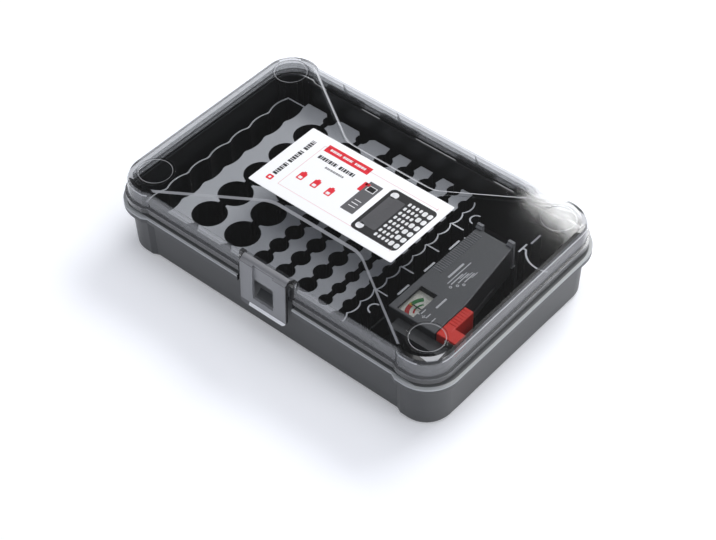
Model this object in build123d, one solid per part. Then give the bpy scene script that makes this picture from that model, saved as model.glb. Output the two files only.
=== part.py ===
"""Battery organiser case with a hinged clear lid, a snap latch and a slide-arm battery tester.

Millimetres. X runs along the long side, the latch faces -Y, the hinges are at +Y and +Z is up.
The origin is on the resting face, below the middle of the case.
"""
from build123d import *
import math
import os

# ---------------------------------------------------------------- base tray
FOOT_X = 144.3            # half length at the floor
FOOT_Y = 91.0             # half depth at the floor
WALL_DRAFT = 1.1          # how far the walls lean out up to the flange
CORNER_R = 20.7           # vertical corner of the tray walls
FOOT_ROUND = 2.5          # bevelled bottom edge: inwards and up
FOOT_RISE = 1.5
TRAY_WALL = 2.4
FLOOR_T = 2.4
FLANGE_TOP = 43.0
FLANGE_H = 4.7            # height of the turned-down flange edge
FLANGE_LOW = FLANGE_TOP - FLANGE_H
FLANGE_OUT = 5.2          # flange overhang beyond the wall
FLANGE_SKIN = 1.9
RIM_TOP = FLANGE_TOP + 7.0     # inner rim that the lid closes over
RIM_IN = 2.2              # rim face behind the wall face below it
RIM_T = 2.0
STEP_Z = RIM_TOP - 2.0    # thin lip on top of the rim
STEP_IN = 0.8
RECESS_X = 113.5          # half length of the shallow front and back recess
RECESS = 2.2
JOG = 4.5
RIB_COUNT = 5             # upright ribs inside each left corner
RIB_T = 1.2
RIB_DEPTH = 0.9
RIB_TOP = STEP_Z - 3.0
WALL_TOP_X = FOOT_X + WALL_DRAFT
WALL_TOP_Y = FOOT_Y + WALL_DRAFT
INNER_X = WALL_TOP_X - RIM_IN - RIM_T
INNER_Y = WALL_TOP_Y - RIM_IN - RIM_T

# ---------------------------------------------------------------- lid
LID_LOW = FLANGE_TOP + 3.5
LIP_TOP = LID_LOW + 4.5
LID_H = 19.1
LID_TOP = LID_LOW + LID_H
LID_SHOULDER = LID_TOP - 3.4   # where the side wall turns into the top
CROWN_DROP = 1.0          # first and second bevel of the top edge
CROWN_IN = 0.9
EDGE_IN = 3.0
LID_X = WALL_TOP_X - 0.4  # half length and half depth at the shoulder
LID_Y = WALL_TOP_Y + 1.0
LID_DRAFT = 0.9
LID_LIP = 1.5
LID_CORNER = CORNER_R + 0.5
LID_T = 2.2
LENS_DROP = 1.6           # front and back fields lie below the middle field
LENS_Y = 41.5             # straight part of the ridge
LENS_X = 40.8
LENS_SLOPE = 0.65         # slope of the ridge towards the corners
LENS_ROUND = 24.0
LENS_KNEE = 0.3           # how the knees of the ridge move in when the field grows
RIDGE_W = 2.0             # slanted face along the ridge
RING_INSET_X = 20.6       # moulded rings over the corners, from the shoulder
RING_INSET_Y = 21.0
RING_R = 14.2
RING_W = 2.2
RING_SIDES = 36
RING_H = 0.4
CARD_X = 132.0
CARD_Y = 70.0
CARD_T = 0.4
CARD_SHIFT = -3.0

# ---------------------------------------------------------------- hinges
HINGE_Y = WALL_TOP_Y + FLANGE_OUT - RECESS - 0.6
HINGE_Z = FLANGE_TOP + 3.3
HINGE_X = (-89.5, -36.5, 36.5, 89.5)
HINGE_LEN = 34.0
KNUCKLE_R = 2.8
LUG_T = 4.0               # width of each tray ear
WEB_DROP = 0.4            # web to the lid, as shares of the barrel radius
WEB_REACH = 0.6
HINGE_PIN_R = 1.25
RUN_GAP = 0.05            # radial gap of a pin in its running bore
SEAT_GAP = 0.02           # radial gap of a pin in its fixed bore
SIDE_GAP = 0.3            # gap between parts that pass each other
GUSSET_T = 1.5

# ---------------------------------------------------------------- latch
LATCH_X = 21.5
LATCH_Y = -(LID_Y - RECESS + 0.1)   # latch pin axis
LATCH_Z = LID_TOP - 4.1
LATCH_R = 3.0
LATCH_T = 2.0
LATCH_FACE_Y = -(WALL_TOP_Y + FLANGE_OUT - 0.3)   # front face at the bottom
LATCH_BROW_Y = LATCH_FACE_Y + 1.5
LATCH_BROW_UP = 0.5       # brow line above the pin axis
LATCH_LOW = FLANGE_LOW - 13.8
LIP_H = 2.5               # pull lip along the bottom edge
LIP_OUT = 1.3
LATCH_PIN_R = 1.0
LATCH_PIN_GRIP = 2.5      # pin length held in each cheek
LATCH_CORNER = 4.0
LATCH_GAP_X = LATCH_X + 3.5    # the flange and the lid lip are cut away here
WINDOW_X = 9.5
WINDOW_LOW = LATCH_LOW + 7.5
WINDOW_HIGH = LATCH_Z + 2.25
POCKET_WALL = 1.8
POCKET_GAP = 1.0          # behind and below the latch barrel
CATCH_X = 8.0
CATCH_TOP = FLANGE_LOW - 0.3
CATCH_H = 5.6
CATCH_GAP = 0.4           # the catch stays this far behind the latch plate

# ---------------------------------------------------------------- battery rack
RACK_TOP = 32.0
DECK_T = 1.6
WELL_WALL = 1.3
RACK_GAP = 0.8            # rack edge to tray wall
DECK_FRONT = -(INNER_Y - RECESS - RACK_GAP)
DECK_BACK = 82.3
DECK_RIGHT = 43.3
C_R = 13.4
C_PITCH = 27.5
C_ROWS = 5
C_NECK = 7.0
C_COLUMNS = (-91.05, -58.3)
C_SIDES = 24              # flats of a moulded seat
END_R = 5.4               # small seats at both ends of a C column
END_SIDES = 12
END_FRONT_Y = -74.2
END_BACK_Y = 77.0
END_MOUTH = 15.0
AA_R = 7.4
AA_PITCH = 16.42
AA_FIRST = -62.9
AA_ROWS = 9
AA_NECK = 5.0
AA_MOUTH = 9.4
AA_COLUMNS = (-30.6, -9.95, 10.7)
AA_SIDES = 16
AAA_R = 5.4
AAA_PITCH = 14.22
AAA_NECK = 4.6
AAA_MOUTH = 8.0
AAA_ROWS = 11
AAA_OUTER_X = 45.8
AAA_OUTER_FIRST = -72.6
AAA_INNER_X = 29.8
AAA_SIDES = 12
SEAM_TROUGH = -110.0      # seams between the zones of the insert
SEAM_AA = -41.5
SEAM_AAA = 21.2
TROUGH_LEFT = -(INNER_X - 5.7)
TROUGH_RIGHT = -115.0
TROUGH_BAYS = 7
TROUGH_PITCH = 22.1
TROUGH_START = -78.2
TROUGH_TOOTH = 2.2
TROUGH_FLAT = 1.2         # half width of a tooth's blunt end
DECK_LEFT = TROUGH_RIGHT - TROUGH_TOOTH

# ---------------------------------------------------------------- dividers
WAVE_CREST = 52.0
WAVE_PINCH = 49.3
FIN_T = 1.2
FIN_END = 60.8
FIN_YS = (-35.7, -7.4, 20.8, 49.0)
LEDGE_X = 64.3
LEDGE_FIN = 1.6
LEDGES = ((-30.0, -17.8), (-1.0, 10.6), (27.0, 38.8))
HOOK_R = 4.6
HOOK_PLACES = ((61.5, -50.5), (61.5, 63.0))
D_INSET = 20.9            # D cell seat in the back right corner, from the foot of both walls
D_R = 17.7
D_WALL = 1.4
D_END_X = 0.89            # the curved wall ends here, as shares of the seat radius
D_END_Y = 0.45
D_FIN_X = 104.2           # straight walls left of the seat
D_FIN = (56.7, 66.5)
D_REAR_X = 106.2
D_REAR = (68.8, 80.0)

# ---------------------------------------------------------------- battery tester
TESTER_LOW = 28.0
TESTER_H = 25.0
TESTER_TOP = TESTER_LOW + TESTER_H
TESTER_LEFT = 79.0
TESTER_W = 40.0           # width at the front and at the back
TESTER_BACK_W = 31.5
TESTER_LEN = 97.0
TESTER_FRONT = -57.0
TESTER_BACK = TESTER_FRONT + TESTER_LEN
TESTER_RIGHT = TESTER_LEFT + TESTER_W
TESTER_NARROW = TESTER_LEFT + TESTER_BACK_W
TAPER_FROM = TESTER_FRONT + 33.0
TESTER_CORNER = 2.5
TESTER_EDGE = 0.8
SHELL_T = 1.8
COVER_T = 1.8
COVER_GAP = 0.1
CAP_Y = 10.0
CAP_TOP = TESTER_TOP - 6.0
CAP_LEFT = TESTER_LEFT + 9.0
CAP_CORNER = 2.0
WIN_LEFT = TESTER_LEFT + 5.8
WIN_RIGHT = WIN_LEFT + 14.1
WIN_FRONT = TESTER_FRONT + 2.4
WIN_BACK = WIN_FRONT + 25.9
WINDOW_T = 1.0
WINDOW_SUNK = 0.4
DIAL_Z = TESTER_TOP - 4.0
DIAL_T = 0.5
DIAL_EDGE = 1.0           # dial and block beside the window opening
BLOCK_EDGE = 4.0
NEEDLE_X = WIN_RIGHT + 2.6
NEEDLE_Y = WIN_FRONT + 10.6
NEEDLE_LEN = 13.0
NEEDLE_W = 0.7
NEEDLE_Z = DIAL_Z + 1.2
NEEDLE_T = 0.4
HUB_R = 1.6
PIVOT_REACH = 3.0         # dial and block beyond the pivot
METER_H = 9.0
PIVOT_R = 0.8
STAND_R = 2.0
STAND_INSET = 8.0
RESISTOR_X = TESTER_LEFT + 16.0
RESISTOR_Y = TESTER_BACK - 30.0
RESISTOR_R = 1.6
RESISTOR_LEN = 9.0
NINE_VOLT_PITCH = 12.9
NINE_VOLT_W = 6.0
NINE_VOLT_EDGE = 5.5      # pad ends from the top and bottom of the cap
ARM_LEFT = TESTER_RIGHT + 0.4
ARM_RIGHT = ARM_LEFT + 7.6
ARM_FRONT = TESTER_FRONT + 7.0
ARM_BACK = ARM_FRONT + 25.0
ARM_LOW = TESTER_LOW + 2.5
ARM_CORNER = 1.2
CAP_RIGHT = ARM_RIGHT + 6.0
FOOT_TIP = ARM_RIGHT + 9.5
FOOT_FRONT = TESTER_FRONT + 0.6
FOOT_BACK = FOOT_FRONT + 11.4
FOOT_LOW = TESTER_TOP - 13.0
TONGUE_DEPTH = 5.6
TONGUE_LOW = TESTER_LOW + 6.0
TONGUE_H = 3.4
CONTACT_T = 0.4
CONTACT_EDGE = 1.5        # sheet contacts inside the faces that carry them
CLIP_W = 5.0
CLIP_T = 2.4
CLIP_TOP = TESTER_TOP + 3.0
CLIP_NOSE = 1.6
CLIP_NOSE_T = 0.7
CLIP_XS = (TESTER_LEFT + 2.0, TESTER_LEFT + 29.0)
BAY_RIBS = (-40.0, 0.0, 30.0)
BAY_FRONT = -60.0
BAY_BACK = 50.0
BAY_WALL_DROP = 4.0       # low wall below the tester
STUB_Y = 46.8
STUB_LEN = 10.0
SCREW_R = 2.0
SCREW_SHANK = 1.2
SCREW_PLACES = ((TESTER_LEFT + 16.0, TESTER_BACK - 6.0), (TESTER_LEFT + 29.0, TESTER_BACK - 54.0))
SCREW_LEN = 9.0
POST_WALL = 1.2


def plan(half_x, half_y, corner, recess_x):
    """Outline of the case at one height: rounded corners and a shallow recess front and back."""
    outline = RectangleRounded(2 * half_x, 2 * half_y, corner)
    for side in (-1, 1):
        edge = side * half_y
        outline -= make_face(Polyline(
            (-recess_x - JOG, edge), (-recess_x, edge - side * RECESS),
            (recess_x, edge - side * RECESS), (recess_x + JOG, edge),
            (recess_x + JOG, edge + side), (-recess_x - JOG, edge + side), close=True))
    return outline


def case_body(low, high, size_low, size_high, corner, recess_x):
    """Solid between two outlines; size_low and size_high are (half_x, half_y)."""
    bottom = Pos(0, 0, low) * plan(*size_low, corner, recess_x)
    top = Pos(0, 0, high) * plan(*size_high, corner, recess_x)
    return loft([bottom.face(), top.face()], ruled=True)


def slab(outline, low, high):
    return extrude(Pos(0, 0, low) * outline, high - low)


def box(x0, x1, y0, y1, z0, z1):
    return Pos((x0 + x1) / 2, (y0 + y1) / 2, (z0 + z1) / 2) * Box(x1 - x0, y1 - y0, z1 - z0)


def strip(x0, x1, y0, y1):
    return Pos((x0 + x1) / 2, (y0 + y1) / 2) * Rectangle(x1 - x0, y1 - y0)


def rod_x(x0, x1, y, z, radius):
    return Pos((x0 + x1) / 2, y, z) * Rot(0, 90, 0) * Cylinder(radius, x1 - x0)


def side_profile(points, x0, x1):
    """Solid from a closed outline in Y and Z, between two places along X."""
    outline = make_face(Polyline(*[(x0, y, z) for y, z in points], close=True))
    return extrude(outline, x1 - x0, dir=(1, 0, 0))


# ================================================================ base tray
def flange_ring():
    """Shelf around the tray with a turned-down edge, hollow below."""
    out_x = WALL_TOP_X + FLANGE_OUT
    out_y = WALL_TOP_Y + FLANGE_OUT
    corner = CORNER_R + FLANGE_OUT
    ring = slab(plan(out_x, out_y, corner, RECESS_X), FLANGE_LOW, FLANGE_TOP)
    hollow = plan(out_x - FLANGE_SKIN, out_y - FLANGE_SKIN, corner - FLANGE_SKIN, RECESS_X)
    ring -= slab(hollow, FLANGE_LOW, FLANGE_TOP - FLANGE_SKIN)
    gap_y = out_y + FLANGE_OUT
    ring -= box(-LATCH_GAP_X, LATCH_GAP_X, -gap_y, -(WALL_TOP_Y - RECESS), FLANGE_LOW, FLANGE_TOP)
    return ring


def ear_middles(x):
    """Places of the two tray ears of one hinge."""
    reach = (HINGE_LEN - LUG_T) / 2
    return (x - reach, x + reach)


def hinge_lugs():
    """Upright ears on the flange, two for each hinge."""
    seat_y = WALL_TOP_Y + FLANGE_OUT - RECESS
    front_y = HINGE_Y - KNUCKLE_R
    low = FLANGE_TOP - FLANGE_SKIN
    stalk = [(front_y, low), (seat_y, low), (HINGE_Y + KNUCKLE_R, HINGE_Z), (front_y, HINGE_Z)]
    lugs = []
    for x in HINGE_X:
        for middle in ear_middles(x):
            x0 = middle - LUG_T / 2
            lug = side_profile(stalk, x0, x0 + LUG_T)
            lug += rod_x(x0, x0 + LUG_T, HINGE_Y, HINGE_Z, KNUCKLE_R)
            lugs.append(lug)
    return lugs


def base_tray():
    tray = case_body(0, FLANGE_TOP, (FOOT_X, FOOT_Y), (WALL_TOP_X, WALL_TOP_Y), CORNER_R, RECESS_X)
    foot_edges = tray.faces().sort_by(Axis.Z)[0].edges()
    tray = chamfer(foot_edges, FOOT_ROUND, FOOT_RISE)
    tray += flange_ring()
    rim_x = WALL_TOP_X - RIM_IN
    rim_y = WALL_TOP_Y - RIM_IN
    tray += slab(plan(rim_x, rim_y, CORNER_R - RIM_IN, RECESS_X), FLANGE_LOW, STEP_Z)
    lip = plan(rim_x - STEP_IN, rim_y - STEP_IN, CORNER_R - RIM_IN - STEP_IN, RECESS_X)
    tray += slab(lip, STEP_Z, RIM_TOP)
    tray -= slab(inner_plan(0), FLOOR_T, RIM_TOP)
    for lug in hinge_lugs():
        tray += lug
    for rib in corner_ribs():
        tray += rib
    for x in HINGE_X:
        tray -= rod_x(x - HINGE_LEN, x + HINGE_LEN, HINGE_Y, HINGE_Z, HINGE_PIN_R + SEAT_GAP)
    return tray


def latch_catch():
    """Sloped nose on the front wall that the bar of the latch hooks below."""
    low = CATCH_TOP - CATCH_H
    wall_low = RECESS - FOOT_Y - WALL_DRAFT * low / FLANGE_TOP
    wall_high = RECESS - FOOT_Y - WALL_DRAFT * CATCH_TOP / FLANGE_TOP
    fall = (low - LATCH_LOW) / (LATCH_Z - LATCH_LOW)
    plate_y = LATCH_FACE_Y + LATCH_T + (LATCH_BROW_Y - LATCH_FACE_Y) * fall
    tip_y = plate_y + CATCH_GAP
    points = [(wall_low, low), (tip_y, low), (tip_y, low + CATCH_H / 3), (wall_high, CATCH_TOP)]
    return side_profile(points, -CATCH_X, CATCH_X)


def corner_ribs():
    """Upright ribs inside the two left corners."""
    inner_corner = CORNER_R - TRAY_WALL
    reach = inner_corner - RIB_DEPTH
    ribs = []
    for side, turn in ((1, 90), (-1, 180)):
        centre = Pos(-(INNER_X - inner_corner), side * (INNER_Y - inner_corner), 0)
        for k in range(1, RIB_COUNT + 1):
            rib = box(reach, inner_corner + TRAY_WALL / 2, -RIB_T / 2, RIB_T / 2, FLOOR_T / 2, RIB_TOP)
            ribs.append(centre * Rot(0, 0, turn + 90 * k / (RIB_COUNT + 1)) * rib)
    return ribs


def hinge_pins():
    half = HINGE_LEN / 2
    return Compound(children=[rod_x(x - half, x + half, HINGE_Y, HINGE_Z, HINGE_PIN_R) for x in HINGE_X])


# ================================================================ lid
def lens_field(side, grow):
    """Front or back field of the lid top, bounded by the ridge; grown towards the middle."""
    ridge_y = LENS_Y - grow
    half = LENS_X - grow * LENS_KNEE
    far_y = LID_Y + LID_LIP + LID_DRAFT + TRAY_WALL
    far_x = half + (far_y - ridge_y) / LENS_SLOPE
    outline = make_face(Polyline(
        (-far_x, side * far_y), (-half, side * ridge_y),
        (half, side * ridge_y), (far_x, side * far_y), close=True))
    knees = [v for v in outline.vertices() if abs(v.Y) < ridge_y + 1]
    return fillet(knees, LENS_ROUND)


def lid_shape(inset, low):
    """Closed outer form of the lid, or its inner form when inset by the wall."""
    top = LID_TOP - inset
    corner = LID_CORNER - inset
    recess_x = RECESS_X + inset
    shoulder = (LID_X - inset, LID_Y - inset)
    foot = (LID_X + LID_DRAFT - inset, LID_Y + LID_DRAFT - inset)
    lip = plan(foot[0] + LID_LIP, foot[1] + LID_LIP, corner + LID_LIP, recess_x)
    crown_z = top - CROWN_DROP
    crown = (shoulder[0] - CROWN_IN, shoulder[1] - CROWN_IN)
    edge = (shoulder[0] - EDGE_IN, shoulder[1] - EDGE_IN)
    shape = slab(lip, low, LIP_TOP - inset)
    shape += case_body(LIP_TOP - inset, LID_SHOULDER - inset, foot, shoulder, corner, recess_x)
    if inset > 0:
        shape += case_body(LID_SHOULDER - inset, top, shoulder, edge, corner, recess_x)
    else:
        shape += case_body(LID_SHOULDER, crown_z, shoulder, crown, corner, recess_x)
        shape += case_body(crown_z, top, crown, edge, corner, recess_x)
    for side in (-1, 1):
        low_field = lens_field(side, inset)
        high_field = lens_field(side, inset + RIDGE_W)
        shape -= loft([(Pos(0, 0, top - LENS_DROP) * low_field).face(), (Pos(0, 0, top) * high_field).face()],
                      ruled=True)
    return shape


def latch_seat():
    """Solid block in the front edge of the lid that the latch pocket is cut into."""
    cheek = LATCH_X + SIDE_GAP + LATCH_PIN_GRIP + POCKET_WALL / 3
    back = LATCH_Y + LATCH_R + POCKET_GAP + POCKET_WALL
    low = LATCH_Z - LATCH_R - POCKET_GAP - POCKET_WALL
    return box(-cheek, cheek, -LID_Y - LID_DRAFT, back, low, LID_TOP)


def latch_pocket():
    half = LATCH_X + SIDE_GAP
    back = LATCH_Y + LATCH_R + POCKET_GAP
    return box(-half, half, -LID_Y - LATCH_R * 2, back, LATCH_Z - LATCH_R - POCKET_GAP, LID_TOP)


def hinge_knuckle(x):
    """Barrel of one hinge between the tray ears, with its web to the lid wall and a gusset above."""
    left, right = ear_middles(x)
    x0 = left + LUG_T / 2 + SIDE_GAP
    x1 = right - LUG_T / 2 - SIDE_GAP
    wall_y = LID_Y + LID_DRAFT - RECESS - LID_T / 2
    web_low = HINGE_Z - KNUCKLE_R * WEB_DROP
    web = [(wall_y, web_low), (HINGE_Y, web_low),
           (HINGE_Y, HINGE_Z + KNUCKLE_R), (wall_y, LIP_TOP)]
    rib_low = HINGE_Z + KNUCKLE_R + SIDE_GAP
    rib = [(wall_y, rib_low), (HINGE_Y + KNUCKLE_R * WEB_REACH, rib_low), (wall_y, LID_SHOULDER)]
    barrel = rod_x(x0, x1, HINGE_Y, HINGE_Z, KNUCKLE_R) + side_profile(web, x0, x1)
    return barrel, side_profile(rib, x - GUSSET_T / 2, x + GUSSET_T / 2)


def lug_relief(x):
    """Cuts through the lid lip that let it swing past the ears of the tray."""
    half = LUG_T / 2 + SIDE_GAP
    return [rod_x(middle - half, middle + half, HINGE_Y, HINGE_Z, KNUCKLE_R + SIDE_GAP)
            for middle in ear_middles(x)]


def lid():
    shell = lid_shape(0, LID_LOW)
    shell -= lid_shape(LID_T, LID_LOW)
    shell += lid_shape(0, LID_LOW) & latch_seat()
    shell -= latch_pocket()
    wall_y = LID_Y + LID_DRAFT - RECESS
    shell -= box(-LATCH_GAP_X, LATCH_GAP_X, -wall_y - LID_LIP, -wall_y, LID_LOW, LIP_TOP)
    pin_x = LATCH_X + SIDE_GAP + LATCH_PIN_GRIP
    shell -= rod_x(-pin_x, pin_x, LATCH_Y, LATCH_Z, LATCH_PIN_R + SEAT_GAP)
    for x in HINGE_X:
        for piece in hinge_knuckle(x):
            shell += piece
        for relief in lug_relief(x):
            shell -= relief
        shell -= rod_x(x - HINGE_LEN, x + HINGE_LEN, HINGE_Y, HINGE_Z, HINGE_PIN_R + RUN_GAP)
    ring = RegularPolygon(RING_R, RING_SIDES) - RegularPolygon(RING_R - RING_W, RING_SIDES)
    for x in (RING_INSET_X - LID_X, LID_X - RING_INSET_X):
        for y in (RING_INSET_Y - LID_Y, LID_Y - RING_INSET_Y):
            shell += slab(Pos(x, y) * ring, LID_TOP, LID_TOP + RING_H)
    return shell


def label_card():
    return slab(strip(CARD_SHIFT - CARD_X / 2, CARD_SHIFT + CARD_X / 2, -CARD_Y / 2, CARD_Y / 2),
                LID_TOP, LID_TOP + CARD_T)


# ================================================================ latch
def latch():
    """Clear snap latch: barrel, sloped brow, flat plate with a window and a pull lip."""
    outer = [(LATCH_Y, LATCH_Z + LATCH_R), (LATCH_BROW_Y, LATCH_Z + LATCH_BROW_UP),
             (LATCH_FACE_Y, LATCH_LOW + LIP_H), (LATCH_FACE_Y - LIP_OUT, LATCH_LOW),
             (LATCH_FACE_Y + LATCH_T / 2, LATCH_LOW), (LATCH_FACE_Y + LATCH_T, LATCH_LOW + LIP_H),
             (LATCH_BROW_Y + LATCH_T, LATCH_Z - LATCH_T), (LATCH_Y, LATCH_Z)]
    body = side_profile(outer, -LATCH_X, LATCH_X)
    body += rod_x(-LATCH_X, LATCH_X, LATCH_Y, LATCH_Z, LATCH_R)
    for side in (-1, 1):
        centre = Pos(side * (LATCH_X - LATCH_CORNER), LATCH_FACE_Y, LATCH_LOW + LATCH_CORNER)
        square = Pos(side * LATCH_X, LATCH_FACE_Y, LATCH_LOW) * Box(
            2 * LATCH_CORNER, 4 * LATCH_T, 2 * LATCH_CORNER)
        body -= square - centre * Rot(90, 0, 0) * Cylinder(LATCH_CORNER, 4 * LATCH_T)
    front = LATCH_FACE_Y - LATCH_T * 2
    body -= box(-WINDOW_X, WINDOW_X, front, LATCH_Y - LATCH_R, WINDOW_LOW, WINDOW_HIGH)
    body -= rod_x(-LATCH_X, LATCH_X, LATCH_Y, LATCH_Z, LATCH_PIN_R + RUN_GAP)
    return body


def latch_pin():
    half = LATCH_X + SIDE_GAP + LATCH_PIN_GRIP
    return rod_x(-half, half, LATCH_Y, LATCH_Z, LATCH_PIN_R)


# ================================================================ battery rack
def seat_hole(radius, sides):
    """Moulded seat with flats, a flat towards each neck."""
    apothem = radius * math.cos(math.pi / sides)
    return Rot(0, 0, 180 / sides) * RegularPolygon((radius + apothem) / 2, sides)


def well_column(x, rows, radius, neck, sides, mouth=0):
    """Column of seats joined by necks; a mouth opens the column at the back edge of the deck."""
    shape = strip(x - neck / 2, x + neck / 2, rows[0], rows[-1])
    for y in rows:
        shape += Pos(x, y) * seat_hole(radius, sides)
    if mouth:
        shape += make_face(Polyline(
            (x - neck / 2, rows[-1]), (x + neck / 2, rows[-1]),
            (x + mouth / 2, DECK_BACK), (x - mouth / 2, DECK_BACK), close=True))
    return shape


def skirt(x, first, last, radius):
    """Straight wall block around a column of seats."""
    reach = radius + WELL_WALL
    return strip(x - reach, x + reach, first - reach, last + reach)


def trough(grow):
    """Side trough: a row of bays with arched sides that meet in blunt teeth."""
    shape = None
    left = TROUGH_LEFT - grow
    right = TROUGH_RIGHT + grow
    for bay in range(TROUGH_BAYS):
        y0 = TROUGH_START + bay * TROUGH_PITCH
        y1 = y0 + TROUGH_PITCH
        middle = (y0 + y1) / 2
        if bay == 0:
            y0 -= grow
        if bay == TROUGH_BAYS - 1:
            y1 += grow
        low = y0 + TROUGH_FLAT
        high = y1 - TROUGH_FLAT
        far = ThreePointArc((left + TROUGH_TOOTH, low), (left, middle), (left + TROUGH_TOOTH, high))
        near = ThreePointArc((right - TROUGH_TOOTH, high), (right, middle), (right - TROUGH_TOOTH, low))
        back = Polyline(far @ 1, (left + TROUGH_TOOTH, y1), (right - TROUGH_TOOTH, y1), near @ 0)
        front = Polyline(near @ 1, (right - TROUGH_TOOTH, y0), (left + TROUGH_TOOTH, y0), far @ 0)
        face = make_face([far, back, near, front])
        shape = face if shape is None else shape + face
    return shape


def c_rows():
    return [C_PITCH * (k - (C_ROWS - 1) / 2) for k in range(C_ROWS)]


def aa_rows():
    return [AA_FIRST + AA_PITCH * k for k in range(AA_ROWS)]


def aaa_outer_rows():
    return [AAA_OUTER_FIRST + AAA_PITCH * k for k in range(AAA_ROWS)]


def aaa_inner_rows():
    return [y + AAA_PITCH / 2 for y in aaa_outer_rows()]


def inner_plan(gap):
    """Inside of the tray at its narrowest, less a gap."""
    return plan(INNER_X - gap, INNER_Y - gap, CORNER_R - TRAY_WALL - gap, RECESS_X + TRAY_WALL + gap)


def rack_zone(x0, x1, wells, skirts):
    """One zone of the insert between two seams: deck, wall blocks and seats."""
    zone = strip(x0, x1, DECK_FRONT, DECK_BACK)
    return slab(zone - wells, RACK_TOP - DECK_T, RACK_TOP) + slab((zone & skirts) - wells, FLOOR_T, RACK_TOP)


def cell_rack():
    """Zone of the C seats, with a small seat at both ends of each column."""
    rows = c_rows()
    wells = None
    skirts = None
    for x in C_COLUMNS:
        column = well_column(x, rows, C_R, C_NECK, C_SIDES)
        column += well_column(x, [END_FRONT_Y, rows[0]], END_R, AAA_NECK, END_SIDES)
        column += well_column(x, [rows[-1], END_BACK_Y], END_R, AAA_NECK, END_SIDES, END_MOUTH)
        block = skirt(x, rows[0], rows[-1], C_R) + skirt(x, END_FRONT_Y, END_BACK_Y, END_R)
        wells = column if wells is None else wells + column
        skirts = block if skirts is None else skirts + block
    return rack_zone(SEAM_TROUGH, SEAM_AA, wells, skirts)


def aa_rack():
    """Zone of the AA seats."""
    rows = aa_rows()
    wells = None
    skirts = None
    for x in AA_COLUMNS:
        column = well_column(x, rows, AA_R, AA_NECK, AA_SIDES, AA_MOUTH)
        block = skirt(x, rows[0], DECK_BACK, AA_R)
        wells = column if wells is None else wells + column
        skirts = block if skirts is None else skirts + block
    return rack_zone(SEAM_AA, SEAM_AAA, wells, skirts)


def aaa_rack():
    """Zone of the AAA seats: one whole column and one that is open to the right."""
    outer = aaa_outer_rows()
    inner = aaa_inner_rows()
    wells = well_column(AAA_INNER_X, inner, AAA_R, AAA_NECK, AAA_SIDES, AAA_MOUTH)
    wells += well_column(AAA_OUTER_X, outer, AAA_R, AAA_NECK, AAA_SIDES)
    skirts = skirt(AAA_INNER_X, inner[0], DECK_BACK, AAA_R)
    skirts += skirt(AAA_OUTER_X, outer[0], outer[-1], AAA_R)
    return rack_zone(SEAM_AAA, DECK_RIGHT, wells, skirts)


def side_trough():
    """Trough of round-sided bays along the left end, with the strip of deck beside it."""
    wells = trough(0)
    deck = strip(DECK_LEFT, SEAM_TROUGH, DECK_FRONT, DECK_BACK)
    walls = slab(trough(WELL_WALL) - wells, FLOOR_T, RACK_TOP)
    return walls + slab(deck - wells, RACK_TOP - DECK_T, RACK_TOP)


# ================================================================ dividers
def wave_line(shift):
    """Arched line that follows the outer row of small seats."""
    arcs = []
    start = AAA_OUTER_FIRST - AAA_PITCH / 2
    for k in range(AAA_ROWS):
        y0 = start + k * AAA_PITCH
        arcs.append(ThreePointArc((WAVE_PINCH + shift, y0), (WAVE_CREST + shift, y0 + AAA_PITCH / 2),
                                  (WAVE_PINCH + shift, y0 + AAA_PITCH)))
    return arcs


def wavy_divider():
    """Thin arched wall with short fins that part the button-cell places."""
    near = wave_line(-FIN_T / 2)
    far = wave_line(FIN_T / 2)
    ends = [Line(near[0] @ 0, far[0] @ 0), Line(near[-1] @ 1, far[-1] @ 1)]
    wall = slab(make_face(near + far + ends), FLOOR_T, RACK_TOP)
    for y in FIN_YS:
        wall += box(WAVE_PINCH, FIN_END, y - FIN_T / 2, y + FIN_T / 2, FLOOR_T, RACK_TOP)
    return wall


def hooks():
    """Curved walls at both ends of the button-cell places."""
    shapes = []
    for x, y in HOOK_PLACES:
        ring = Circle(HOOK_R + FIN_T / 2) - Circle(HOOK_R - FIN_T / 2)
        ring -= Pos(HOOK_R, 0) * Rectangle(HOOK_R * 2, HOOK_R * 3)
        shapes.append(Pos(x, y) * ring)
    return shapes


def tester_bay():
    """Low wall beside the tester with its ledges, cross ribs that carry it and two snap clips."""
    x0 = LEDGE_X
    x1 = LEDGE_X + LEDGE_FIN
    bay = None
    for y0, y1 in LEDGES:
        piece = box(x0, x1, y0, y1, FLOOR_T, RACK_TOP)
        bay = piece if bay is None else bay + piece
    bay += box(x1, x1 + FIN_T, BAY_FRONT, BAY_BACK, FLOOR_T, TESTER_LOW - BAY_WALL_DROP)
    for shape in hooks():
        bay += slab(shape, FLOOR_T, RACK_TOP)
    for y in BAY_RIBS:
        bay += box(x1, TESTER_NARROW, y - FIN_T / 2, y + FIN_T / 2, FLOOR_T, TESTER_LOW)
    bay += box(x1, x1 + STUB_LEN, STUB_Y, STUB_Y + FIN_T, FLOOR_T, TESTER_LOW)
    back_y = TESTER_BACK + SIDE_GAP
    for x in CLIP_XS:
        bay += box(x - CLIP_W / 2, x + CLIP_W / 2, back_y, back_y + CLIP_T, FLOOR_T, CLIP_TOP)
        nose = [(back_y + CLIP_T / 2, TESTER_TOP + SIDE_GAP), (back_y - CLIP_NOSE, TESTER_TOP + SIDE_GAP),
                (back_y - CLIP_NOSE, TESTER_TOP + SIDE_GAP + CLIP_NOSE_T), (back_y + CLIP_T / 2, CLIP_TOP)]
        bay += side_profile(nose, x - CLIP_W / 2, x + CLIP_W / 2)
    clip_y = back_y + CLIP_T
    bay += box(x1, CLIP_XS[-1] + CLIP_W / 2, clip_y, clip_y + FIN_T, FLOOR_T, RACK_TOP)
    return bay


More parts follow.
